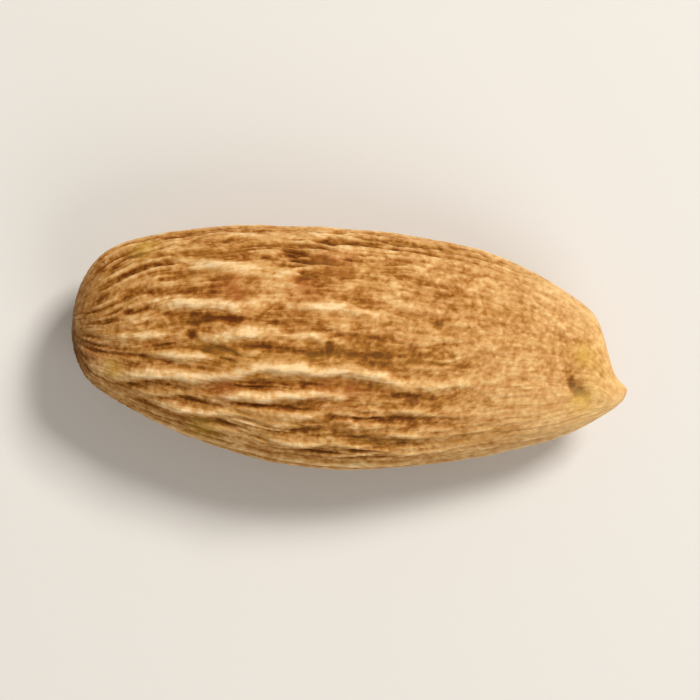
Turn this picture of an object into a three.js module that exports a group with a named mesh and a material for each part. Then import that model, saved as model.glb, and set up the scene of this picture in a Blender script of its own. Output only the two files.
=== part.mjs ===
// A shelled almond: one whole kernel in its brown seed coat, lying on its broad side.
// Units are millimetres, +Z is up. +X runs from the blunt end to the pointed tip, and +Y is the
// fuller of the two long edges. The origin is under the middle of the kernel, at the height of the
// small flat spot that it rests on.
import * as THREE from "three";

// Driving dimensions.
const LENGTH = 24;
const WIDTH = 10.4;
const THICKNESS = 6.8;
const FLAT_SPOT_PRESS = 0.16; // how far the lowest skin is pressed flat
const FLAT_SPOT = { along: 0.44, at: 270 }; // its middle: a share of the length, and degrees round

// The two outlines. Half the width and half the thickness are each an oval's, times a factor that
// is fuller near the blunt end and slimmer towards the tip. Reaches are shares of the length.
const SEEN_FROM_ABOVE = { middle: 0.434, fuller: 0.202, reach: 0.069, slimmer: 0.054, power: 2.3 };
const SEEN_FROM_SIDE = { middle: 0.3, fuller: 0.05, reach: 0.12, slimmer: 0.125, power: 3 };
const UPPER_FACE = 1.04; // the upper face is a little rounder than the lower one
const LOWER_FACE = 0.96;
const TIP = { narrower: 0.53, turned: 0.21 }; // shares of the half width there
const TIP_REACH = 0.048; // share of the length
const TIP_ASIDE = 0.026; // share of the length, towards -Y
const BOW = { height: 0.007, crest: 0.05, wave: 0.73 }; // shares of the length
const ENDS_RAISED = { height: 0.03, middle: 0.46 }; // shares of the length

// Fineness of the skin: every ridge has a crest, a furrow and a step on each side.
const STEPS_PER_RIDGE = 4;
const RINGS = 58;
const END_CROWDING = 0.62; // 0 spaces the rings evenly, 1 as on a ball

// The skin's lengthwise ridges. "at" is where the crest lies in degrees round the kernel, from the +Y
// edge over the top face (90) to the -Y edge (180) and back under the lower face (270). "from" and
// "to" are shares of the length, from the blunt end, and "rise" is the crest's height in millimetres.
const RIDGES = [
  { at: 4, from: 0.05, to: 0.86, rise: 0.12 },
  { at: 26, from: 0.18, to: 0.46, rise: 0.2 },
  { at: 40, from: 0.1, to: 0.36, rise: 0.12 },
  { at: 52, from: 0.12, to: 0.44, rise: 0.26 },
  { at: 63, from: 0.16, to: 0.62, rise: 0.12 },
  { at: 74, from: 0.05, to: 0.58, rise: 0.26 },
  { at: 87, from: 0.04, to: 0.5, rise: 0.28 },
  { at: 104, from: 0.05, to: 0.76, rise: 0.34 },
  { at: 117, from: 0.22, to: 0.76, rise: 0.22 },
  { at: 130, from: 0.08, to: 0.56, rise: 0.26 },
  { at: 146, from: 0.14, to: 0.6, rise: 0.2 },
  { at: 162, from: 0.06, to: 0.72, rise: 0.14 },
  { at: 180, from: 0.03, to: 0.92, rise: 0.14 },
  { at: 198, from: 0.08, to: 0.7, rise: 0.18 },
  { at: 212, from: 0.05, to: 0.5, rise: 0.26 },
  { at: 226, from: 0.14, to: 0.76, rise: 0.2 },
  { at: 241, from: 0.04, to: 0.6, rise: 0.28 },
  { at: 257, from: 0.07, to: 0.8, rise: 0.24 },
  { at: 273, from: 0.12, to: 0.6, rise: 0.24 },
  { at: 288, from: 0.05, to: 0.72, rise: 0.28 },
  { at: 303, from: 0.08, to: 0.54, rise: 0.24 },
  { at: 318, from: 0.04, to: 0.68, rise: 0.24 },
  { at: 333, from: 0.16, to: 0.5, rise: 0.16 },
  { at: 348, from: 0.06, to: 0.78, rise: 0.12 },
];
const TURN = 360;
const BLUNT_END_GATHER = 34; // degrees by which ridges lean to the -Y edge at the blunt end
const GATHER_REACH = 0.34; // share of the length over which they do

const { smoothstep, lerp, degToRad, euclideanModulo } = THREE.MathUtils;

// Half the kernel's size at a share of its length, in one of its two outlines.
function halfSize(outline, along) {
  const oval = Math.sqrt(along * (1 - along));
  const fuller = outline.fuller * Math.exp(-along / outline.reach);
  const slimmer = outline.slimmer * along ** outline.power;
  return LENGTH * oval * (outline.middle + fuller - slimmer);
}

// 1 at the very tip and 0 away from it.
function nearTip(along) {
  return Math.exp(-(((1 - along) / TIP_REACH) ** 3));
}

// Half the width: the outline from above, pinched in at the tip.
function halfWidth(along) {
  return halfSize(SEEN_FROM_ABOVE, along) * (1 - TIP.narrower * nearTip(along));
}

// How far the middle of a section lies towards +Y: a faint bow, and a tip that turns to -Y, so
// that the pinch shows on the +Y side.
function sideways(along) {
  const bow = LENGTH * BOW.height * Math.cos((2 * Math.PI * (along - BOW.crest)) / BOW.wave);
  const aside = TIP.turned * halfSize(SEEN_FROM_ABOVE, along) + LENGTH * TIP_ASIDE;
  return bow - aside * nearTip(along);
}

// How far the middle of a section is raised: both ends stand a little off the ground.
function raised(along) {
  return LENGTH * ENDS_RAISED.height * (along - ENDS_RAISED.middle) ** 2;
}

// A ridge's own height at a share of the length: faded in and out at its two ends, and worn down
// where the kernel lies on its lower face.
function crestHeight(ridge, along) {
  const fadeIn = smoothstep(along, ridge.from - 0.05, ridge.from + 0.07);
  const fadeOut = 1 - smoothstep(along, ridge.to - 0.14, ridge.to + 0.1);
  const fromFlat = Math.hypot((along - FLAT_SPOT.along) / 0.2, (ridge.at - FLAT_SPOT.at) / 34);
  const worn = smoothstep(fromFlat, 0.45, 1.1);
  return ridge.rise * fadeIn * fadeOut * lerp(0.08, 1, worn);
}

// A ridge by its number, counted on round the kernel as often as needed.
function ridgeNumber(number) {
  return RIDGES[euclideanModulo(number, RIDGES.length)];
}

// Where a column of the skin lies, in degrees, and how high its ridge stands there. "round" counts
// ridges, so whole numbers are crests and halves are furrows.
function ridgeAt(round, along) {
  const before = Math.floor(round);
  const nearest = ridgeNumber(Math.round(round));
  const from = ridgeNumber(before);
  const to = ridgeNumber(before + 1);
  const gap = euclideanModulo(to.at - from.at, TURN);
  const even = from.at + gap * (round - before);
  const gather = BLUNT_END_GATHER * Math.max(0, 1 - along / GATHER_REACH) ** 2;
  const degrees = even + gather * Math.sin(degToRad(even));
  const crest = Math.cos(Math.PI * (round - Math.round(round))) ** 2;
  return { angle: degToRad(degrees), height: crest * crestHeight(nearest, along) };
}

// A point of the skin, before the kernel is set down and brought to its exact size.
function skinPoint(round, along, point) {
  const { angle, height } = ridgeAt(round, along);
  const wide = halfWidth(along);
  const face = Math.sin(angle) > 0 ? UPPER_FACE : LOWER_FACE;
  const deep = halfSize(SEEN_FROM_SIDE, along) * face;
  const outY = Math.cos(angle) * deep;
  const outZ = Math.sin(angle) * wide;
  const out = Math.hypot(outY, outZ) || 1;
  return point.set(
    LENGTH * along,
    sideways(along) + Math.cos(angle) * wide + (height * outY) / out,
    raised(along) + Math.sin(angle) * deep + (height * outZ) / out,
  );
}

// The skin as one closed surface: a ball's grid, with its poles at the two ends, moved to the skin.
function kernelGeometry() {
  const columns = RIDGES.length * STEPS_PER_RIDGE;
  const geometry = new THREE.SphereGeometry(1, columns, RINGS);
  const { position, uv } = geometry.attributes;
  const point = new THREE.Vector3();
  for (let i = 0; i < position.count; i++) {
    const even = uv.getY(i);
    const ball = (1 - Math.cos(Math.PI * even)) / 2;
    const round = uv.getX(i) * RIDGES.length;
    skinPoint(round, lerp(even, ball, END_CROWDING), point);
    position.setXYZ(i, point.x, point.y, point.z);
  }
  return geometry;
}

// Brings a geometry to its exact size, flattens its lowest skin and puts the origin under it.
function setDown(geometry) {
  geometry.computeBoundingBox();
  const size = geometry.boundingBox.getSize(new THREE.Vector3());
  geometry.scale(LENGTH / size.x, WIDTH / size.y, (THICKNESS + FLAT_SPOT_PRESS) / size.z);
  geometry.computeBoundingBox();
  const { min, max } = geometry.boundingBox;
  geometry.translate(-(min.x + max.x) / 2, -(min.y + max.y) / 2, -min.z - FLAT_SPOT_PRESS);
  const { position } = geometry.attributes;
  for (let i = 0; i < position.count; i++) {
    position.setZ(i, Math.max(position.getZ(i), 0));
  }
  geometry.deleteAttribute("uv");
  geometry.computeVertexNormals();
  return geometry;
}

const seedCoat = new THREE.MeshStandardMaterial({
  color: "#c39052",
  roughness: 0.62,
  metalness: 0,
});

const kernel = new THREE.Mesh(setDown(kernelGeometry()), seedCoat);
kernel.name = "kernel";

const almond = new THREE.Group();
almond.add(kernel);

export default almond;
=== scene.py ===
# A shelled almond: one kernel in its wrinkled brown skin, lying on its broad side, seen from above.
# The CAD model gives its frame and its size. Everything here is in metres, +X runs to the pointed tip
# and +Y to the fuller long edge. The sections follow: kernel, its ridges and marks, its skin's relief,
# its seed coat's finish, studio.
import math

import bmesh
import bpy
import numpy as np
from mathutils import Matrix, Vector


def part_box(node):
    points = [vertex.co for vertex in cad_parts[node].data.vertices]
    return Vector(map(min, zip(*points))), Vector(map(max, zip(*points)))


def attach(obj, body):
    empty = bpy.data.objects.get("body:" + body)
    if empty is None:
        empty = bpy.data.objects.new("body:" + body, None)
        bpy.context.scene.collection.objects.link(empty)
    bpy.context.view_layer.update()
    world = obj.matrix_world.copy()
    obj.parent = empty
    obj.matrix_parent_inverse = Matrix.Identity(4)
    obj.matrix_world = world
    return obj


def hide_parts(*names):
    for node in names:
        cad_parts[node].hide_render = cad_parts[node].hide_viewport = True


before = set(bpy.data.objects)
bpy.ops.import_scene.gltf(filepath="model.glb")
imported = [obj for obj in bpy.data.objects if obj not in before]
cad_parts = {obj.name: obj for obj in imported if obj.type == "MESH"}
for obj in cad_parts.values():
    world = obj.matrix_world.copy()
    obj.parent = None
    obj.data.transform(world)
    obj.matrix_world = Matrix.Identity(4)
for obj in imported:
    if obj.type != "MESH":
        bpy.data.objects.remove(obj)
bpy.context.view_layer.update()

# ---------------------------------------------------------------------------------------------
# Kernel: the seed of the almond tree, out of its shell. It is one body, blunt at the end where its
# veins meet, pointed at its root end, and flattish, because two seed leaves lie face to face in it.
# It is made as a cube's grid blown up to a ball, so that no pole shows, and drawn out to length.
# ---------------------------------------------------------------------------------------------
CORNER_LOW, CORNER_HIGH = (np.array(corner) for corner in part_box("kernel"))
LENGTH, WIDTH, THICKNESS = CORNER_HIGH - CORNER_LOW
QUADS_PER_SIDE = 128  # of the cube: 98,304 quads in all, about 0.07 mm each

# The two outlines, as half_size takes them. The tip, the bow and the raised ends are in shares of the
# length, but TIP_NARROWER and TIP_TURNED are shares of half the width at the tip.
SEEN_FROM_ABOVE = (0.434, 0.202, 0.069, 0.054, 2.3)
SEEN_FROM_SIDE = (0.3, 0.05, 0.12, 0.125, 3)
UPPER_FACE, LOWER_FACE = 1.04, 0.96  # the upper face is a little fuller than the lower one
TIP_REACH, TIP_NARROWER, TIP_TURNED, TIP_ASIDE = 0.048, 0.53, 0.21, 0.026
BOW_HEIGHT, BOW_CREST, BOW_WAVE = 0.007, 0.05, 0.73
ENDS_RAISED, RAISED_FROM = 0.03, 0.46


def cube_ball(quads):
    """A closed mesh of a ball, from a cube's grid with its quads spread evenly."""
    grid = bmesh.new()
    bmesh.ops.create_cube(grid, size=2)
    bmesh.ops.subdivide_edges(grid, edges=grid.edges[:], cuts=quads - 1, use_grid_fill=True)
    mesh = bpy.data.meshes.new("kernel")
    grid.to_mesh(mesh)
    grid.free()
    points = np.empty(3 * len(mesh.vertices))
    mesh.vertices.foreach_get("co", points)
    points = np.tan(points.reshape(-1, 3) * math.pi / 4)
    return mesh, points / np.linalg.norm(points, axis=1, keepdims=True)


def half_size(along, middle, fuller, reach, slimmer, power):
    """Half the kernel's size over half a ball's: fuller at the blunt end, slimmer at the tip."""
    return LENGTH / 2 * (middle + fuller * np.exp(-along / reach) - slimmer * along**power)


def near_tip(along):
    """1 at the very tip and 0 away from it."""
    return np.exp(-(((1 - along) / TIP_REACH) ** 3))


def half_width(along):
    """Half the width over half a ball's, pinched in at the tip."""
    return half_size(along, *SEEN_FROM_ABOVE) * (1 - TIP_NARROWER * near_tip(along))


def half_thickness(along):
    """Half the thickness over half a ball's."""
    return half_size(along, *SEEN_FROM_SIDE)


def sideways(along):
    """How far a section's middle lies towards +Y: a faint bow, and a tip that turns to -Y."""
    bow = LENGTH * BOW_HEIGHT * np.cos(2 * np.pi * (along - BOW_CREST) / BOW_WAVE)
    oval = 2 * np.sqrt(along * (1 - along))
    aside = TIP_TURNED * half_size(along, *SEEN_FROM_ABOVE) * oval + LENGTH * TIP_ASIDE
    return bow - aside * near_tip(along)


def raised(along):
    """How far a section's middle stands up: both ends are a little off the ground."""
    return LENGTH * ENDS_RAISED * (along - RAISED_FROM) ** 2


kernel_mesh, ball = cube_ball(QUADS_PER_SIDE)
along = (1 + ball[:, 0]) / 2
rounder = np.where(ball[:, 2] > 0, UPPER_FACE, LOWER_FACE)
form = np.column_stack([
    LENGTH * along,
    sideways(along) + ball[:, 1] * half_width(along),
    raised(along) + ball[:, 2] * half_thickness(along) * rounder,
])
kernel_mesh.vertices.foreach_set("co", form.ravel())
kernel = bpy.data.objects.new("almond_kernel", kernel_mesh)
bpy.context.scene.collection.objects.link(kernel)

# ---------------------------------------------------------------------------------------------
# Ridges and marks: the veins of the seed coat spread from the blunt end, and stood up as ridges when
# the coat dried and shrank between them. The marks are where it hung by its stalk, where it is
# pitted, stained or rubbed, and where painted light and shade lie: edges made pale as painted rim
# light, a paler mound and a dark crease. All of them are stored on the mesh as values for the next two
# sections.
# ---------------------------------------------------------------------------------------------
MM = 0.001

# A path is (share of the length, degrees round the kernel) points: 0 is the +Y edge, 90 the upper
# face, 180 the -Y edge and 270 the lower face.
RIDGES = [  # height and width in mm, then the path
    # The longest ridge, which wanders to the -Y side at both of its ends, and the low end of it.
    (0.30, 0.33, [(0.09, 136), (0.14, 123), (0.18, 118), (0.26, 113), (0.29, 110), (0.32, 108),
                  (0.345, 103), (0.38, 101), (0.43, 101), (0.54, 101), (0.6, 106), (0.63, 108)]),
    (0.20, 0.26, [(0.6, 106), (0.64, 108), (0.67, 107), (0.7, 106), (0.73, 105)]),
    # The middle of the upper face.
    (0.28, 0.30, [(0.17, 107), (0.21, 104), (0.27, 104)]),
    (0.28, 0.32, [(0.08, 106), (0.11, 100), (0.15, 96), (0.18, 94)]),
    (0.30, 0.34, [(0.25, 93), (0.27, 91), (0.3, 88), (0.33, 86), (0.38, 86)]),
    (0.22, 0.30, [(0.42, 85), (0.5, 87)]),
    (0.11, 0.24, [(0.09, 88), (0.16, 86), (0.2, 84)]),
    (0.30, 0.34, [(0.16, 77), (0.19, 75), (0.23, 74), (0.27, 75), (0.31, 74), (0.34, 73)]),
    (0.21, 0.30, [(0.39, 71), (0.43, 71), (0.5, 71), (0.55, 74)]),
    (0.10, 0.26, [(0.06, 84), (0.1, 79), (0.14, 77)]),
    # Its +Y side.
    (0.28, 0.38, [(0.22, 51), (0.25, 52), (0.3, 52), (0.34, 52), (0.36, 52)]),
    (0.11, 0.30, [(0.07, 66), (0.13, 60), (0.18, 53)]),
    (0.13, 0.26, [(0.1, 42), (0.2, 38), (0.3, 39)]),
    (0.16, 0.32, [(0.22, 22), (0.26, 24), (0.33, 28), (0.4, 29)]),
    (0.12, 0.30, [(0.06, 10), (0.2, 4), (0.5, 3), (0.7, 5), (0.85, 3)]),
    # Its -Y side, where the ridges lie closer.
    (0.25, 0.28, [(0.27, 125), (0.3, 120), (0.34, 118), (0.38, 116), (0.42, 114), (0.46, 113),
                  (0.5, 113)]),
    (0.19, 0.28, [(0.12, 138), (0.15, 138), (0.17, 134), (0.2, 129)]),
    (0.16, 0.24, [(0.1, 149), (0.14, 144)]),
    (0.25, 0.30, [(0.18, 145), (0.21, 139), (0.26, 135), (0.3, 131), (0.34, 129)]),
    (0.24, 0.28, [(0.4, 129), (0.43, 126), (0.46, 122)]),
    (0.22, 0.28, [(0.38, 142), (0.42, 145), (0.46, 141), (0.52, 143)]),
    (0.15, 0.22, [(0.24, 149), (0.3, 145), (0.34, 144)]),
    (0.17, 0.22, [(0.58, 121), (0.6, 121), (0.64, 121), (0.67, 123)]),
    (0.13, 0.22, [(0.56, 135), (0.62, 136), (0.68, 139)]),
    (0.13, 0.24, [(0.56, 150), (0.64, 152), (0.7, 151)]),
    # Along the -Y edge, the next two ridges' pale crests are partly painted rim light.
    (0.14, 0.30, [(0.12, 169), (0.3, 162), (0.44, 162), (0.55, 166), (0.66, 165)]),
    (0.10, 0.36, [(0.05, 190), (0.2, 183), (0.5, 180), (0.75, 181), (0.93, 180)]),
    # The lower face.
    (0.20, 0.30, [(0.08, 205), (0.2, 200), (0.4, 199), (0.55, 196), (0.72, 198)]),
    (0.24, 0.30, [(0.06, 222), (0.16, 216), (0.3, 212), (0.42, 213), (0.5, 211)]),
    (0.20, 0.28, [(0.14, 231), (0.3, 226), (0.45, 227), (0.6, 224), (0.76, 226)]),
    (0.25, 0.30, [(0.05, 248), (0.15, 244), (0.3, 241), (0.42, 238), (0.6, 241)]),
    (0.22, 0.28, [(0.07, 259), (0.25, 256), (0.5, 257), (0.65, 255), (0.8, 257)]),
    (0.20, 0.26, [(0.1, 270), (0.2, 272), (0.33, 275)]),
    (0.24, 0.30, [(0.05, 282), (0.15, 286), (0.32, 288), (0.5, 286), (0.72, 289)]),
    (0.21, 0.28, [(0.08, 297), (0.2, 301), (0.4, 303), (0.56, 300)]),
    (0.23, 0.30, [(0.05, 312), (0.2, 317), (0.45, 318), (0.68, 316)]),
    (0.16, 0.26, [(0.14, 330), (0.3, 333), (0.52, 332)]),
    (0.13, 0.26, [(0.06, 342), (0.3, 347), (0.5, 348), (0.78, 346)]),
    # Fine lines that draw together at the tip.
    (0.07, 0.18, [(0.78, 25), (0.83, 27), (0.88, 35), (0.92, 49)]),
    (0.07, 0.18, [(0.77, 33), (0.8, 36), (0.85, 44), (0.9, 54)]),
    (0.06, 0.18, [(0.79, 46), (0.85, 55), (0.9, 68)]),
    (0.06, 0.18, [(0.83, 14), (0.88, 20), (0.92, 32)]),
]
# Furrows that are deeper than those beside a ridge, and darker, partly as painted shade: a width in mm,
# then the path.
DEEP_FURROWS = [
    (0.24, [(0.11, 106), (0.15, 103), (0.2, 99), (0.28, 97), (0.35, 93), (0.46, 92), (0.62, 93)]),
    (0.22, [(0.19, 83), (0.22, 85), (0.28, 81), (0.38, 78), (0.42, 78)]),
    (0.20, [(0.1, 70), (0.17, 69), (0.22, 67), (0.27, 64), (0.33, 65)]),
    (0.20, [(0.07, 32), (0.12, 40), (0.22, 42), (0.33, 43), (0.4, 45)]),
    (0.20, [(0.26, 122), (0.3, 117), (0.33, 113), (0.38, 110), (0.44, 108), (0.53, 107)]),
    (0.17, [(0.1, 141), (0.15, 128), (0.18, 122), (0.23, 118)]),
    (0.16, [(0.1, 114), (0.14, 112), (0.18, 111), (0.24, 109), (0.28, 107)]),
    (0.18, [(0.28, 128), (0.32, 125), (0.37, 122), (0.41, 119), (0.48, 116)]),
    (0.22, [(0.37, 140), (0.41, 135), (0.44, 134), (0.48, 132), (0.53, 130)]),
    (0.20, [(0.54, 112), (0.6, 112), (0.63, 115), (0.66, 115), (0.71, 114)]),
    (0.18, [(0.55, 127), (0.58, 125), (0.65, 126), (0.69, 126)]),
    (0.18, [(0.43, 148), (0.48, 149), (0.54, 149)]),
]
RUN_IN, RUN_OUT = 0.05, 0.09  # shares of the length over which a path's ends fade
CORNER_STEPS = (-0.03, -0.015, 0, 0.015, 0.03)  # shares of the length that round a path's corners
SWAYS = ((5.3, 0.7), (13.7, 0.4))  # waves over the length, and their degrees
CREST_SHAPE = 1.6  # 1 is a sharp crest, 2 a round one
FURROW_REACH = 2.2  # how far the furrows beside a ridge reach, in the ridge's widths
FULL_RIDGE = 0.2  # mm: the height of a ridge whose furrows are 1 deep
DEEP_FURROW = 1.2  # how deep a deep furrow is, over one of those
FLAT_SPOT = (0.44, 270)  # where the kernel lies, as a path's point
FLAT_SPOT_REACH = (0.2, 34)  # how far it wears, as a share of the length and in degrees
WORN_FULLY, WORN_FROM = 0.45, 1.1  # in those reaches: where the wear is full, and where it starts
RIDGES_WORN = 0.9  # how much of a ridge's height and of a furrow's depth the wear takes


def ease(value, start, end):
    """0 before start, 1 after end, and a smooth rise between them."""
    share = np.clip((value - start) / (end - start), 0, 1)
    return share * share * (3 - 2 * share)


degrees = np.degrees(np.arctan2(ball[:, 2], ball[:, 1])) % 360
radius = np.hypot(
    half_width(along) * np.abs(ball[:, 2]), half_thickness(along) * np.abs(ball[:, 1])
)  # metres of skin for each radian round a section


def turned_from(start):
    """Degrees from a start to each vertex, the short way round."""
    return (degrees - start + 180) % 360 - 180


def smooth_path(path, number):
    """The path's degrees at each vertex's share of the length: rounded corners and a slight sway."""
    shares, turns = np.array(path).T
    nearby = [np.interp(along + step, shares, turns) for step in CORNER_STEPS]
    sway = sum(size * np.sin(2 * np.pi * waves * along + number) for waves, size in SWAYS)
    return sum(nearby) / len(nearby) + sway


def beside_path(path, width, number):
    """How many widths each vertex is from a path, and how far the path is under way there."""
    across = np.radians(turned_from(smooth_path(path, number))) * radius / (width * MM)
    start, end = path[0][0], path[-1][0]
    rise = ease(along, start - RUN_IN, start + RUN_IN)
    fall = 1 - ease(along, end - RUN_OUT, end + RUN_IN)
    return across, rise * fall


def ridge_relief():
    """Each vertex's height on the ridges in metres, and how deep it is in a furrow."""
    relief, furrow = np.zeros(len(along)), np.zeros(len(along))
    for number, (height, width, path) in enumerate(RIDGES):
        across, under_way = beside_path(path, width, number)
        crest = np.exp(-np.abs(across) ** CREST_SHAPE)
        relief = np.maximum(relief, height * MM * crest * under_way)
        beside = np.exp(-((across / FURROW_REACH) ** 2)) * (1 - crest)
        furrow = np.maximum(furrow, beside * under_way * height / FULL_RIDGE)
    for number, (width, path) in enumerate(DEEP_FURROWS):
        across, under_way = beside_path(path, width, number)
        furrow = np.maximum(furrow, DEEP_FURROW * np.exp(-across**2) * under_way)
    return relief, furrow


def near(spot, reach_along, reach_round, core=0.0):
    """1 at a spot of the skin, fading from its core, a share of its reach, to 0 at its reach.
    The reach is a share of the length along the kernel, and millimetres round it."""
    turn = np.radians(turned_from(spot[1])) * radius / (reach_round * MM)
    return 1 - ease(np.hypot((along - spot[0]) / reach_along, turn), core, 1.0)


def worn():
    """1 where the kernel lies on its lower face, and 0 away from there."""
    far = np.hypot(
        (along - FLAT_SPOT[0]) / FLAT_SPOT_REACH[0], turned_from(FLAT_SPOT[1]) / FLAT_SPOT_REACH[1]
    )
    return 1 - ease(far, WORN_FULLY, WORN_FROM)


def give(name, values, kind="FLOAT"):
    """Stores one value, or one vector, for each vertex of the kernel."""
    data = kernel_mesh.attributes.new(name, kind, "POINT").data
    data.foreach_set("vector" if kind == "FLOAT_VECTOR" else "value", np.ravel(values))


ridge, furrow = ridge_relief()
unworn = 1 - RIDGES_WORN * worn()
give("along", along)
give("worn", worn())
give("ridge", ridge * unworn)
give("furrow", furrow * unworn)

# Marks, each a path's point. A mark's reach is what `near` takes: a share of the length, then mm.
# Pits are small dimples in the skin, and stains are rusty patches that each have their own reach.
PITS = [(0.222, 92), (0.466, 89), (0.645, 75), (0.36, 238), (0.62, 282), (0.2, 305)]
PIT_REACH = (0.022, 0.42)
STAINS = [  # the third value is the reach, as a share of the length
    (0.41, 61, 0.06), (0.455, 44, 0.06), (0.28, 66, 0.07), (0.49, 110, 0.06), (0.28, 117, 0.05),
    (0.06, 116, 0.07), (0.3, 214, 0.09), (0.6, 250, 0.08), (0.24, 320, 0.07),
]
STAIN_REACH_ROUND = 1.3
pit = sum(near(spot, *PIT_REACH) for spot in PITS)
stain = sum(near(spot, reach, STAIN_REACH_ROUND) for *spot, reach in STAINS)
give("pit", np.clip(pit, 0, 1))
give("stain", np.clip(stain, 0, 1))

# The scar is where the seed hung by its stalk: a short curve, darkest past its middle.
SCAR = [(0.884, 93, 0.25), (0.896, 104, 0.6), (0.911, 113, 1.0), (0.929, 121, 0.3)]  # last: how dark
SCAR_SPOTS = 13  # overlapping spots that draw the curve
SCAR_REACH = (0.02, 0.45)
steps = np.linspace(0, len(SCAR) - 1, SCAR_SPOTS)
on_scar = [np.interp(steps, range(len(SCAR)), column) for column in zip(*SCAR)]
give("scar", np.max([dark * near(spot, *SCAR_REACH) for *spot, dark in zip(*on_scar)], axis=0))

# Yellow tinges lie beside the scar and near the blunt end. They are round, with a reach in mm.
TINGES = [(0.916, 123, 0.8), (0.912, 77, 0.8), (0.257, 152, 1.2), (0.118, 29, 1.0), (0.09, 128, 0.8)]
give("tinge", sum(near(spot, reach * MM / LENGTH, reach) for *spot, reach in TINGES))

# A low mound stands at the tip. It is painted paler, partly its own yellower skin and partly
# painted light on its raised top, and a faint dark ring round its blunt side is painted shade
# of a crease that the mesh doesn't have.
MOUND = (0.937, 104)
MOUND_REACH = (0.06, 2.4)
CREASE_REACH, CREASE_CORE, CREASE_SHARPNESS = (0.075, 3.0), 0.3, 2
CREASE_FADES = (0.89, 0.93)  # shares of the length over which it fades out towards the tip
mound = near(MOUND, *MOUND_REACH)
around_it = near(MOUND, *CREASE_REACH, core=CREASE_CORE)
blunt_side = 1 - ease(along, *CREASE_FADES)
give("mound", mound)
give("crease_shade", np.clip(CREASE_SHARPNESS * (around_it - mound), 0, 1) * blunt_side)

# The two long edges are painted pale near the tip, and the tip all round: partly rubbed skin and
# partly painted rim light. The shares of the length are those over which that sets in.
EDGES_RUBBED_AND_RIM_LIT = (0.72, 0.95)
TIP_RUBBED_AND_RIM_LIT = (0.95, 0.99)
edge_on = np.cos(np.radians(degrees)) ** 2 * ease(along, *EDGES_RUBBED_AND_RIM_LIT)
give("rubbed_and_rim_lit_edge", np.maximum(edge_on, ease(along, *TIP_RUBBED_AND_RIM_LIT)))

# The veins meet in a rough dark patch at the blunt end.
VEINS_MEET = (0.012, 150)
VEINS_MEET_REACH = (0.03, 1.5)
give("veins_meet", near(VEINS_MEET, *VEINS_MEET_REACH))

# The wrinkles of the next section are noise that is read by these spokes, which point from the long
# axis to each vertex. Near the blunt end they are turned, so that the wrinkles lean towards the -Y
# edge as the ridges do there.
BLUNT_END_LEAN = 34  # degrees
LEAN_REACH = 0.34  # share of the length
lean = BLUNT_END_LEAN * np.clip(1 - along / LEAN_REACH, 0, 1) ** 2 * np.sin(np.radians(degrees))
spoke = np.radians(degrees - lean)
give("spoke", np.column_stack([np.zeros(len(along)), np.cos(spoke), np.sin(spoke)]), "FLOAT_VECTOR")

# ---------------------------------------------------------------------------------------------
# Skin relief: fine lengthwise wrinkles between the ridges, and the grain of the coat's outer
# cells, which are thick-walled, loose and powdery. Noise that is drawn out along the kernel moves
# the mesh, and what it made is stored on it so that the finish can follow it.
# ---------------------------------------------------------------------------------------------


def add(tree, kind, inputs=(), **settings):
    """A node with its settings and its inputs, each a value, a socket or a node's first output."""
    made = tree.nodes.new(kind)
    for name, value in settings.items():
        setattr(made, name, value)
    pairs = inputs.items() if isinstance(inputs, dict) else enumerate(inputs)
    for key, value in pairs:
        if isinstance(value, bpy.types.Node):
            value = value.outputs[0]
        if isinstance(value, bpy.types.NodeSocket):
            tree.links.new(value, made.inputs[key])
        elif value is not None:
            made.inputs[key].default_value = value
    return made


# Real fibres and outer cells are finer. They are drawn as coarse as they need to be to show.
SKIN_INPUTS = {
    "Wrinkle spacing": 0.6 * MM,
    "Wrinkle length": 7.0 * MM,
    "Wrinkle height": 0.12 * MM,
    "Fibre spacing": 0.21 * MM,
    "Fibre height": 0.03 * MM,
    "Furrow depth": 0.08 * MM,
    "Pit depth": 0.05 * MM,
    "Scar depth": 0.16 * MM,
    "Mound height": 0.1 * MM,
    "Lump size": 3.2 * MM,
    "Lump height": 0.16 * MM,
    "Grain size": 0.17 * MM,
    "Grain height": 0.03 * MM,
}
SEED = 4
MEAN_RADIUS = 4.3 * MM  # of the kernel, for as many wrinkles round it as their spacing gives
SWAY_SIZE, SWAY = 4 * MM, 1.9  # of the wrinkles, the second in noise cells
FIBRE_SWAY = 2.5  # over that of the wrinkles, as fibres lie closer
CREST_WIDTH = 0.13  # of a wrinkle, in the noise's values
PATCH_SIZE, PATCH_SEED = 3.5 * MM, 3.7  # of the areas with deeper or fainter wrinkles
FIBRES_SHORTER = 3.0  # than wrinkles
UNEVEN_SIZE = 1.1 * MM  # of the rise and fall along a ridge
ROUGH_PATCH = 2.6  # grain where the veins meet, over the grain elsewhere

skin = bpy.data.node_groups.new("almond_skin", "GeometryNodeTree")
skin.interface.new_socket("Geometry", in_out="INPUT", socket_type="NodeSocketGeometry")
skin.interface.new_socket("Geometry", in_out="OUTPUT", socket_type="NodeSocketGeometry")
for name in SKIN_INPUTS:
    skin.interface.new_socket(name, in_out="INPUT", socket_type="NodeSocketFloat")
skin.interface.new_socket("Seed", in_out="INPUT", socket_type="NodeSocketInt")
skin.interface.new_socket("Coat", in_out="INPUT", socket_type="NodeSocketMaterial")
given = add(skin, "NodeGroupInput").outputs
place = add(skin, "GeometryNodeInputPosition")
here = {
    name: add(skin, "GeometryNodeInputNamedAttribute", {"Name": name}, data_type=kind)
    for name, kind in [
        ("along", "FLOAT"), ("worn", "FLOAT"), ("ridge", "FLOAT"), ("furrow", "FLOAT"), ("pit", "FLOAT"),
        ("scar", "FLOAT"), ("mound", "FLOAT"), ("veins_meet", "FLOAT"), ("spoke", "FLOAT_VECTOR"),
    ]
}

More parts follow.
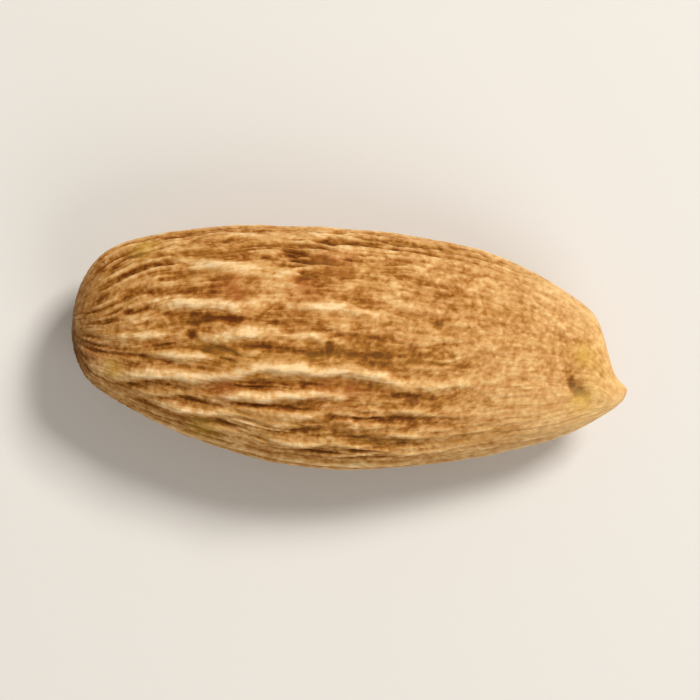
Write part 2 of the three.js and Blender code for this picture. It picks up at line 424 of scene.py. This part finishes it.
# The skin unrolled: one noise cell is a wrinkle's spacing round the kernel, its length along it.
cells_round = add(skin, "ShaderNodeMath", [MEAN_RADIUS, given["Wrinkle spacing"]], operation="DIVIDE")
cells_along = add(skin, "ShaderNodeMath", [LENGTH, given["Wrinkle length"]], operation="DIVIDE")
around = add(skin, "ShaderNodeVectorMath", {0: here["spoke"], "Scale": cells_round}, operation="SCALE")
lengthwise = add(skin, "ShaderNodeMath", [here["along"], cells_along], operation="MULTIPLY")
lengthwise = add(skin, "ShaderNodeCombineXYZ", [lengthwise, 0.0, 0.0])
unrolled = add(skin, "ShaderNodeVectorMath", [around, lengthwise], operation="ADD")

# Sway: the wrinkles bend, part and join.
sway = add(skin, "ShaderNodeTexNoise", {
    "Vector": place, "Scale": 1 / SWAY_SIZE, "Detail": 2.0, "W": given["Seed"],
}, noise_dimensions="4D")
sway = add(skin, "ShaderNodeVectorMath", [sway.outputs["Color"], (0.5, 0.5, 0.5)], operation="SUBTRACT")
sway = add(skin, "ShaderNodeVectorMath", {0: sway, "Scale": SWAY}, operation="SCALE")
bent = add(skin, "ShaderNodeVectorMath", [unrolled, sway], operation="ADD")
folds = add(skin, "ShaderNodeTexNoise", {
    "Vector": bent, "Scale": 1.0, "Detail": 2.0, "Roughness": 0.5, "W": given["Seed"],
}, noise_dimensions="4D")

# A wrinkle's crest is where the noise passes its middle value: thin, over a broad valley.
off_crest = add(skin, "ShaderNodeMath", [folds, 0.5], operation="SUBTRACT")
off_crest = add(skin, "ShaderNodeMath", [off_crest], operation="ABSOLUTE")
crest = add(skin, "ShaderNodeMapRange", [off_crest, 0.0, CREST_WIDTH, 1.0, 0.0],
            interpolation_type="SMOOTHERSTEP")

# The wrinkles are deepest over the blunt half, faint near the tip, and gone at the two very ends.
# They are fainter in some areas, and where the kernel lies.
blunt_half = add(skin, "ShaderNodeMapRange", [here["along"], 0.42, 0.8, 1.0, 0.16],
                 interpolation_type="SMOOTHSTEP")
blunt_end = add(skin, "ShaderNodeMapRange", [here["along"], 0.0, 0.05, 0.0, 1.0],
                interpolation_type="SMOOTHSTEP")
tip_end = add(skin, "ShaderNodeMapRange", [here["along"], 0.95, 0.99, 1.0, 0.0],
              interpolation_type="SMOOTHSTEP")
patches = add(skin, "ShaderNodeTexNoise", {
    "Vector": place, "Scale": 1 / PATCH_SIZE, "Detail": 1.0, "W": PATCH_SEED,
}, noise_dimensions="4D")
patches = add(skin, "ShaderNodeMapRange", [patches, 0.35, 0.65, 0.35, 1.0],
              interpolation_type="SMOOTHSTEP")
flat = add(skin, "ShaderNodeMapRange", [here["worn"], 0.0, 1.0, 1.0, 0.25])
wrinkled = blunt_half
for fade in (blunt_end, tip_end, patches, flat):
    wrinkled = add(skin, "ShaderNodeMath", [wrinkled, fade], operation="MULTIPLY")
fold = add(skin, "ShaderNodeMath", [crest, wrinkled], operation="MULTIPLY")
fold_rise = add(skin, "ShaderNodeMath", [fold, given["Wrinkle height"]], operation="MULTIPLY")

# Fibres: fine lines of the papery coat itself, which run with the wrinkles.
fibres_round = add(skin, "ShaderNodeMath", [MEAN_RADIUS, given["Fibre spacing"]], operation="DIVIDE")
fibres_round = add(skin, "ShaderNodeVectorMath", {0: here["spoke"], "Scale": fibres_round},
                   operation="SCALE")
fibres_along = add(skin, "ShaderNodeVectorMath", {0: lengthwise, "Scale": FIBRES_SHORTER},
                   operation="SCALE")
fibres = add(skin, "ShaderNodeVectorMath", [fibres_round, fibres_along], operation="ADD")
fibre_sway = add(skin, "ShaderNodeVectorMath", {0: sway, "Scale": FIBRE_SWAY}, operation="SCALE")
fibres = add(skin, "ShaderNodeVectorMath", [fibres, fibre_sway], operation="ADD")
fibres = add(skin, "ShaderNodeTexNoise", {
    "Vector": fibres, "Scale": 1.0, "Detail": 2.0, "Roughness": 0.5,
})
fibres = add(skin, "ShaderNodeMapRange", [fibres, 0.35, 0.65, -0.5, 0.5])
fibre_fade = add(skin, "ShaderNodeMath", [blunt_end, tip_end], operation="MULTIPLY")
fibres = add(skin, "ShaderNodeMath", [fibres, fibre_fade], operation="MULTIPLY")
fibre_rise = add(skin, "ShaderNodeMath", [fibres, given["Fibre height"]], operation="MULTIPLY")

# The ridges and the furrows beside them rise and sink a little along their way.
uneven = add(skin, "ShaderNodeTexNoise", {"Vector": place, "Scale": 1 / UNEVEN_SIZE, "Detail": 2.0})
uneven = add(skin, "ShaderNodeMapRange", [uneven, 0.3, 0.7, 0.7, 1.15])
ridge_rise = add(skin, "ShaderNodeMath", [here["ridge"], uneven], operation="MULTIPLY")
relief = add(skin, "ShaderNodeMath", [ridge_rise, fold_rise], operation="MAXIMUM")

# Furrows: the valleys between wrinkles, which end at a ridge, and the furrows of the section before.
valley = add(skin, "ShaderNodeMath", [wrinkled, fold], operation="SUBTRACT")
off_ridge = add(skin, "ShaderNodeMapRange", [here["ridge"], 0.02 * MM, 0.12 * MM, 1.0, 0.0])
valley = add(skin, "ShaderNodeMath", [valley, off_ridge], operation="MULTIPLY")
furrows = add(skin, "ShaderNodeMath", [here["furrow"], uneven], operation="MULTIPLY")
valley = add(skin, "ShaderNodeMath", [valley, furrows], operation="MAXIMUM")
sunk = add(skin, "ShaderNodeMath", [valley, given["Furrow depth"]], operation="MULTIPLY")

# Lumps: the coat sits a little unevenly on the seed leaves.
lump_scale = add(skin, "ShaderNodeMath", [1.0, given["Lump size"]], operation="DIVIDE")
lumps = add(skin, "ShaderNodeTexNoise", {"Vector": place, "Scale": lump_scale, "Detail": 1.0})
lumps = add(skin, "ShaderNodeMath", [lumps, 0.5], operation="SUBTRACT")
lump_rise = add(skin, "ShaderNodeMath", [lumps, given["Lump height"]], operation="MULTIPLY")

# Grain: rounded cells, packed at random, and rougher where the veins meet.
grain_scale = add(skin, "ShaderNodeMath", [1.0, given["Grain size"]], operation="DIVIDE")
cells = add(skin, "ShaderNodeTexVoronoi", {
    "Vector": place, "Scale": grain_scale, "Smoothness": 0.6,
}, feature="SMOOTH_F1")
specks = add(skin, "ShaderNodeTexNoise", {
    "Vector": place, "Scale": grain_scale, "Detail": 2.0, "Roughness": 0.7,
})
grain = add(skin, "ShaderNodeMath", [specks, cells.outputs["Distance"]], operation="SUBTRACT")
coarser = add(skin, "ShaderNodeMapRange", [here["veins_meet"], 0.0, 1.0, 1.0, ROUGH_PATCH])
grain_rise = add(skin, "ShaderNodeMath", [grain, given["Grain height"]], operation="MULTIPLY")
grain_rise = add(skin, "ShaderNodeMath", [grain_rise, coarser], operation="MULTIPLY")

# The mound is raised, and the scar and the pits are sunk.
scar_depth = add(skin, "ShaderNodeMath", [here["scar"], given["Scar depth"]], operation="MULTIPLY")
mound_rise = add(skin, "ShaderNodeMath", [here["mound"], given["Mound height"]], operation="MULTIPLY")
pit_depth = add(skin, "ShaderNodeMath", [here["pit"], given["Pit depth"]], operation="MULTIPLY")

height = relief
for rise in (lump_rise, grain_rise, fibre_rise, mound_rise):
    height = add(skin, "ShaderNodeMath", [height, rise], operation="ADD")
for dip in (sunk, scar_depth, pit_depth):
    height = add(skin, "ShaderNodeMath", [height, dip], operation="SUBTRACT")
outwards = add(skin, "GeometryNodeInputNormal")
move = add(skin, "ShaderNodeVectorMath", {0: outwards, "Scale": height}, operation="SCALE")

skinned = add(skin, "GeometryNodeStoreNamedAttribute", {
    "Geometry": given["Geometry"], "Name": "unrolled", "Value": bent,
}, data_type="FLOAT_VECTOR", domain="POINT")
for name, value in (("relief", relief), ("valley", valley), ("grain", grain), ("fibres", fibres)):
    skinned = add(skin, "GeometryNodeStoreNamedAttribute", {
        "Geometry": skinned, "Name": name, "Value": value,
    }, data_type="FLOAT", domain="POINT")
skinned = add(skin, "GeometryNodeSetPosition", {"Geometry": skinned, "Offset": move})
skinned = add(skin, "GeometryNodeSetShadeSmooth", {"Geometry": skinned})
skinned = add(skin, "GeometryNodeRealizeInstances", {"Geometry": skinned})
skinned = add(skin, "GeometryNodeSetMaterial", {"Geometry": skinned, "Material": given["Coat"]})
add(skin, "NodeGroupOutput", {"Geometry": skinned})

# ---------------------------------------------------------------------------------------------
# Seed coat: dry almond skin, a papery layer under loose powdery scales, left as it dried on the
# seed. It is matt, with golden ridges where the scales are rubbed off and brown valleys where they
# lie thick, and the ridges are also painted lighter as painted highlight and the furrows darker as
# painted shade. All of its colour follows the shape and the marks that the mesh holds.
# ---------------------------------------------------------------------------------------------

# The tone is 0 in the deepest furrow, just under a half on plain skin, and 1 on a rubbed crest.
# A crest's lightness is partly painted highlight, and a furrow's darkness partly painted shade.
PLAIN_SKIN = (0.47, 0.48)  # in the blunt half and in the tip half
RIDGES_LIGHTER, FURROWS_DARKER, CREASE_SHADE_DARKER = 0.52, 0.47, 0.1
SCAR_DARKER, PIT_DARKER = 0.75, 0.58
CLOUD_SIZE, CLOUD = 1.6 * MM, 0.11  # a pattern's size, and how far it moves the tone either way
MOTTLE_SIZE, MOTTLE = 0.36 * MM, 0.18
THREADS_TO_A_WRINKLE, THREADS = 3.6, 0.16
SCALES, STREAKS = 0.15, 0.09
TAUT_EVENNESS, TAUT_PAINTED_LIGHT = 0.8, 0.14  # what taut skin leaves of those changes, and the painted light it adds to the tone
FRAY_SIZE, FRAY = 0.3 * MM, 0.22  # at the edge of a mark
PATCHINESS_SIZE = 0.9 * MM  # of the stains and of the edges that are painted pale
RUST, EDGES_PALER = (0.12, 0.6), (0.2, 0.75)  # a tint's least and most share, over that patchiness
OLIVE_TO_A_WRINKLE, OLIVE = 0.8, 0.22
MOUND_PALER_AND_LIT, TINGE, DARK_PATCH = 0.22, 0.42, 0.75
POWDER_SIZE = 0.07 * MM  # real scales are finer, and are drawn as coarse as they need to be to show
POWDER_BUMP, BUMP_STRENGTH = 0.03 * MM, 0.6
THREAD_BUMP = 4.0  # over the powder's
DULL_VALLEY, BARE_CREST = 0.78, 0.5  # roughness


def srgb(code, alpha=1.0):
    """A linear colour from an sRGB hex code."""
    parts = [int(code[i : i + 2], 16) / 255 for i in (1, 3, 5)]
    return (*[c / 12.92 if c < 0.04045 else ((c + 0.055) / 1.055) ** 2.4 for c in parts], alpha)


def fill_ramp(ramp, stops):
    """Sets a colour ramp's stops, as (place, colour) pairs."""
    while len(ramp.elements) > len(stops):
        ramp.elements.remove(ramp.elements[-1])
    while len(ramp.elements) < len(stops):
        ramp.elements.new(0.5)
    for element, (place_on_ramp, colour) in zip(ramp.elements, stops):
        element.position = place_on_ramp
        element.color = colour


coat = bpy.data.materials.new("dry_almond_skin")
coat.use_nodes = True
nodes = coat.node_tree
nodes.nodes.clear()
seen = {
    name: add(nodes, "ShaderNodeAttribute", attribute_name=name).outputs["Fac"]
    for name in (
        "along", "relief", "valley", "grain", "fibres", "pit", "stain", "scar", "tinge", "mound",
        "crease_shade", "rubbed_and_rim_lit_edge", "veins_meet",
    )
}
where = add(nodes, "ShaderNodeTexCoord").outputs["Object"]
unrolled = add(nodes, "ShaderNodeAttribute", attribute_name="unrolled").outputs["Vector"]

# Tone: it rises on ridges, partly as painted highlight, falls in furrows, partly as painted shade,
# and has clouds, mottle and fine threads in it.
crest_rubbed_and_lit = add(nodes, "ShaderNodeMapRange", [
    seen["relief"], 0.01 * MM, 0.2 * MM, 0.0, RIDGES_LIGHTER,
])
shaded = add(nodes, "ShaderNodeMapRange", [seen["valley"], 0.1, 1.3, 0.0, FURROWS_DARKER])
cloud = add(nodes, "ShaderNodeTexNoise", {
    "Vector": where, "Scale": 1 / CLOUD_SIZE, "Detail": 3.0, "Roughness": 0.55,
})
cloud = add(nodes, "ShaderNodeMapRange", [cloud, 0.3, 0.7, -CLOUD, CLOUD])
mottle = add(nodes, "ShaderNodeTexNoise", {
    "Vector": where, "Scale": 1 / MOTTLE_SIZE, "Detail": 3.0, "Roughness": 0.6,
})
mottle = add(nodes, "ShaderNodeMapRange", [mottle, 0.3, 0.7, -MOTTLE, MOTTLE])
threads = add(nodes, "ShaderNodeTexNoise", {
    "Vector": unrolled, "Scale": THREADS_TO_A_WRINKLE, "Detail": 3.0, "Roughness": 0.6,
})
threads = add(nodes, "ShaderNodeMapRange", [threads, 0.3, 0.7, -THREADS, THREADS])
scales = add(nodes, "ShaderNodeMapRange", [seen["grain"], -0.2, 0.5, -SCALES, SCALES])
streaks = add(nodes, "ShaderNodeMapRange", [seen["fibres"], -0.5, 0.5, -STREAKS, STREAKS])

# The tip half has fainter threads and a stronger mottle than the blunt half.
smoother = add(nodes, "ShaderNodeMapRange", [seen["along"], 0.45, 0.72, 1.0, 0.35],
               interpolation_type="SMOOTHSTEP")
threads = add(nodes, "ShaderNodeMath", [threads, smoother], operation="MULTIPLY")
spotted = add(nodes, "ShaderNodeMapRange", [seen["along"], 0.45, 0.72, 1.0, 1.2],
              interpolation_type="SMOOTHSTEP")
mottle = add(nodes, "ShaderNodeMath", [mottle, spotted], operation="MULTIPLY")
changes = cloud
for change in (mottle, threads, scales, streaks):
    changes = add(nodes, "ShaderNodeMath", [changes, change], operation="ADD")

# The skin is tauter and evener towards the tip on the -Y side, and painted paler there as painted
# light, as if that side were lit.
taut = add(nodes, "ShaderNodeMapRange", [seen["along"], 0.62, 0.86, 0.0, 1.0],
           interpolation_type="SMOOTHSTEP")
across = add(nodes, "ShaderNodeSeparateXYZ", [where]).outputs["Y"]
minus_side = add(nodes, "ShaderNodeMapRange", [across, 1.5 * MM, -1.5 * MM, 0.25, 1.0],
                 interpolation_type="SMOOTHSTEP")
taut = add(nodes, "ShaderNodeMath", [taut, minus_side], operation="MULTIPLY")
evenness = add(nodes, "ShaderNodeMapRange", [taut, 0.0, 1.0, 1.0, TAUT_EVENNESS])
changes = add(nodes, "ShaderNodeMath", [changes, evenness], operation="MULTIPLY")
plain = add(nodes, "ShaderNodeMapRange", [seen["along"], 0.4, 0.65, *PLAIN_SKIN])
# Painted light: the -Y side towards the tip is made paler, as if lit.
painted_light_paler = add(nodes, "ShaderNodeMath", [taut, TAUT_PAINTED_LIGHT], operation="MULTIPLY")
# Crests are made lighter, partly as painted highlight, and furrows darker, partly as painted shade.
tone = add(nodes, "ShaderNodeMath", [crest_rubbed_and_lit, plain], operation="ADD")
tone = add(nodes, "ShaderNodeMath", [tone, painted_light_paler], operation="ADD")
tone = add(nodes, "ShaderNodeMath", [tone, shaded], operation="SUBTRACT")
# Painted shade: a dark ring round the mound's blunt side, where a crease would be in shade.
crease_shade = add(nodes, "ShaderNodeMath", [seen["crease_shade"], CREASE_SHADE_DARKER], operation="MULTIPLY")
tone = add(nodes, "ShaderNodeMath", [tone, crease_shade], operation="SUBTRACT")
tone = add(nodes, "ShaderNodeMath", [tone, changes], operation="ADD")

# The scar and the pits are dark, with frayed edges.
frayed = add(nodes, "ShaderNodeTexNoise", {
    "Vector": where, "Scale": 1 / FRAY_SIZE, "Detail": 4.0, "Roughness": 0.65,
})
frayed = add(nodes, "ShaderNodeMapRange", [frayed, 0.3, 0.7, -FRAY, FRAY])
for mark, darker in (("scar", SCAR_DARKER), ("pit", PIT_DARKER)):
    edge = add(nodes, "ShaderNodeMath", [seen[mark], frayed], operation="ADD")
    edge = add(nodes, "ShaderNodeMapRange", [edge, 0.1, 1.0, 0.0, darker],
               interpolation_type="SMOOTHSTEP")
    tone = add(nodes, "ShaderNodeMath", [tone, edge], operation="SUBTRACT")

# The tone's colour is a golden brown in the blunt half, and a yellower straw brown towards the tip.
golden = add(nodes, "ShaderNodeValToRGB", [tone])
fill_ramp(golden.color_ramp, [
    (0.0, srgb("#5F2F06")),
    (0.25, srgb("#965C1B")),
    (0.5, srgb("#C08A4B")),
    (0.75, srgb("#DCB074")),
    (1.0, srgb("#F4D4A2")),
])
straw = add(nodes, "ShaderNodeValToRGB", [tone])
fill_ramp(straw.color_ramp, [
    (0.0, srgb("#6C3D11")),
    (0.25, srgb("#9F6829")),
    (0.5, srgb("#C49156")),
    (0.75, srgb("#DDB67A")),
    (1.0, srgb("#F5DAAA")),
])
yellower = add(nodes, "ShaderNodeMapRange", [seen["along"], 0.4, 0.75, 0.0, 1.0])
skin_colour = add(nodes, "ShaderNodeMix", {0: yellower, 6: golden, 7: straw}, data_type="RGBA")

# Tints: olive streaks, rusty stains, the mound painted pale, partly as painted light, the edges
# painted pale in patches, partly rubbed and partly painted rim light, the yellow tinges, and the
# dark patch where the veins meet.
patch = add(nodes, "ShaderNodeTexNoise", {
    "Vector": where, "Scale": 1 / PATCHINESS_SIZE, "Detail": 3.0, "Roughness": 0.6,
})
rust = add(nodes, "ShaderNodeMapRange", [patch, 0.42, 0.62, *RUST])
rust = add(nodes, "ShaderNodeMath", [seen["stain"], rust], operation="MULTIPLY")
olive = add(nodes, "ShaderNodeTexNoise", {
    "Vector": unrolled, "Scale": OLIVE_TO_A_WRINKLE, "Detail": 2.0, "Roughness": 0.5,
})
olive = add(nodes, "ShaderNodeMapRange", [olive, 0.45, 0.75, 0.0, OLIVE])
# The mound's paleness is partly painted light on its raised top.
pale_and_lit_mound = add(nodes, "ShaderNodeMath", [seen["mound"], MOUND_PALER_AND_LIT], operation="MULTIPLY")
# Edges painted pale near the tip: partly rubbed skin, partly painted rim light.
worn_and_rim_lit_pale = add(nodes, "ShaderNodeMapRange", [patch, 0.32, 0.62, *EDGES_PALER])
worn_and_rim_lit_pale = add(nodes, "ShaderNodeMath", [seen["rubbed_and_rim_lit_edge"], worn_and_rim_lit_pale], operation="MULTIPLY")
yellow = add(nodes, "ShaderNodeMath", [seen["tinge"], TINGE], operation="MULTIPLY")
dark = add(nodes, "ShaderNodeMath", [seen["veins_meet"], DARK_PATCH], operation="MULTIPLY")
colour = skin_colour.outputs[2]
for share, tint in (
    (olive, "#B98E3E"),
    (rust, "#A8602F"),
    (pale_and_lit_mound, "#E2C06F"),
    (worn_and_rim_lit_pale, "#F0CE92"),
    (yellow, "#D0AC48"),
    (dark, "#6E4420"),
):
    colour = add(nodes, "ShaderNodeMix", {0: share, 6: colour, 7: srgb(tint)}, data_type="RGBA")
    colour = colour.outputs[2]

# Powder and threads too fine for the mesh are bumps. The loose scales scatter nearly all the light,
# so reflections are weak, and a little clearer on the crests where the papery layer is bare.
powder = add(nodes, "ShaderNodeTexNoise", {
    "Vector": where, "Scale": 1 / POWDER_SIZE, "Detail": 3.0, "Roughness": 0.65,
})
creased = add(nodes, "ShaderNodeMath", [threads, THREAD_BUMP], operation="MULTIPLY")
fine_relief = add(nodes, "ShaderNodeMath", [powder, creased], operation="ADD")
bumps = add(nodes, "ShaderNodeBump", {
    "Strength": BUMP_STRENGTH, "Distance": POWDER_BUMP, "Height": fine_relief,
})
dullness = add(nodes, "ShaderNodeMapRange", [tone, 0.2, 1.0, DULL_VALLEY, BARE_CREST])
surface = add(nodes, "ShaderNodeBsdfPrincipled", {
    "Base Color": colour, "Roughness": dullness, "Normal": bumps,
    "IOR": 1.46, "Specular IOR Level": 0.15,
})
add(nodes, "ShaderNodeOutputMaterial", {"Surface": surface})

# Drying: the skin's inputs are set by their identifiers, and the result becomes the plain mesh.
shrivel = kernel.modifiers.new("skin", "NODES")
shrivel.node_group = skin
values = {**SKIN_INPUTS, "Seed": SEED, "Coat": coat}
for item in skin.interface.items_tree:
    if item.in_out == "INPUT" and item.name in values:
        shrivel[item.identifier] = values[item.name]
evaluated = bpy.context.evaluated_depsgraph_get()
dried = bpy.data.meshes.new_from_object(
    kernel.evaluated_get(evaluated), preserve_all_data_layers=True, depsgraph=evaluated
)
kernel.modifiers.clear()
kernel.data = dried
dried.name = "almond_kernel"

# Set down: brought to the CAD's box, with the lowest skin pressed flat where the kernel lies.
FLAT_SPOT_PRESS = 0.16 * MM
points = np.empty(3 * len(dried.vertices))
dried.vertices.foreach_get("co", points)
points = points.reshape(-1, 3)
lowest, highest = points.min(axis=0), points.max(axis=0)
wanted = np.array([LENGTH, WIDTH, THICKNESS + FLAT_SPOT_PRESS])
points = (points - lowest) * wanted / (highest - lowest) + CORNER_LOW
points[:, 2] = np.maximum(points[:, 2] - FLAT_SPOT_PRESS, CORNER_LOW[2])
dried.vertices.foreach_set("co", points.ravel())
dried.update()

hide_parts("kernel")
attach(kernel, "root")

# ---------------------------------------------------------------------------------------------
# Studio: a pale table of matt laminate, which shows soft shadows and no reflection. A soft light
# high on the tip's +Y side gives the ridges their shadows, a larger and weaker one on its -Y side
# fills them, and an even pale surround does the rest.
# ---------------------------------------------------------------------------------------------
TABLE_HALF = 0.6
TABLE_TOP = -0.01 * MM  # a hair under the kernel, so that the two flat faces don't coincide
TABLE_CORNERS = ((-1, -1), (1, -1), (1, 1), (-1, 1))
table_mesh = bpy.data.meshes.new("table")
table_mesh.from_pydata(
    [(x * TABLE_HALF, y * TABLE_HALF, TABLE_TOP) for x, y in TABLE_CORNERS], [], [(0, 1, 2, 3)]
)
table = bpy.data.objects.new("table", table_mesh)
bpy.context.scene.collection.objects.link(table)
matt = bpy.data.materials.new("pale_matt_laminate")
matt.use_nodes = True
laminate = matt.node_tree.nodes["Principled BSDF"]
laminate.inputs["Base Color"].default_value = srgb("#DDDDDB")
laminate.inputs["Roughness"].default_value = 0.7
table_mesh.materials.append(matt)


def lamp(name, place_in_mm, size, watts, colour):
    """A square soft light, its place and size in millimetres, aimed at the kernel."""
    data = bpy.data.lights.new(name, "AREA")
    data.size = size * MM
    data.energy = watts
    data.color = srgb(colour)[:3]
    made = bpy.data.objects.new(name, data)
    made.location = [value * MM for value in place_in_mm]
    made.rotation_euler = made.location.to_track_quat("Z", "Y").to_euler()
    bpy.context.scene.collection.objects.link(made)


WARM_WHITE = "#FFF8F0"
lamp("key_light", (190, 235, 320), 120, 1.85, WARM_WHITE)
lamp("fill_light", (230, -280, 300), 300, 0.7, WARM_WHITE)

# The surround looks paler than it lights, so that it doesn't wash out the shadows.
SURROUND_LIGHT, SURROUND_LOOK = 0.33, 0.85
world = bpy.data.worlds.new("surround")
world.use_nodes = True
sky = world.node_tree.nodes["Background"]
sky.inputs["Color"].default_value = srgb("#F8F1E6")
in_view = add(world.node_tree, "ShaderNodeLightPath").outputs["Is Camera Ray"]
paleness = add(world.node_tree, "ShaderNodeMapRange", [
    in_view, 0.0, 1.0, SURROUND_LIGHT, SURROUND_LOOK,
])
world.node_tree.links.new(paleness.outputs[0], sky.inputs["Strength"])
bpy.context.scene.world = world

# Camera: straight above the kernel, turned so that the tip points right and slightly down.
LENS, SENSOR = 135, 36  # mm
FIELD = 30 * MM  # width of what is seen at half the kernel's height
TURN = 5.7  # degrees
CLIP_START = 1 * MM
camera_data = bpy.data.cameras.new("camera")
camera_data.lens = LENS
camera_data.sensor_width = SENSOR
camera_data.clip_start = CLIP_START
camera = bpy.data.objects.new("camera", camera_data)
camera.location = (0, 0, THICKNESS / 2 + FIELD * LENS / SENSOR)
camera.rotation_euler = (0, 0, math.radians(TURN))
bpy.context.scene.collection.objects.link(camera)
bpy.context.scene.camera = camera
bpy.context.scene.view_settings.view_transform = "Standard"
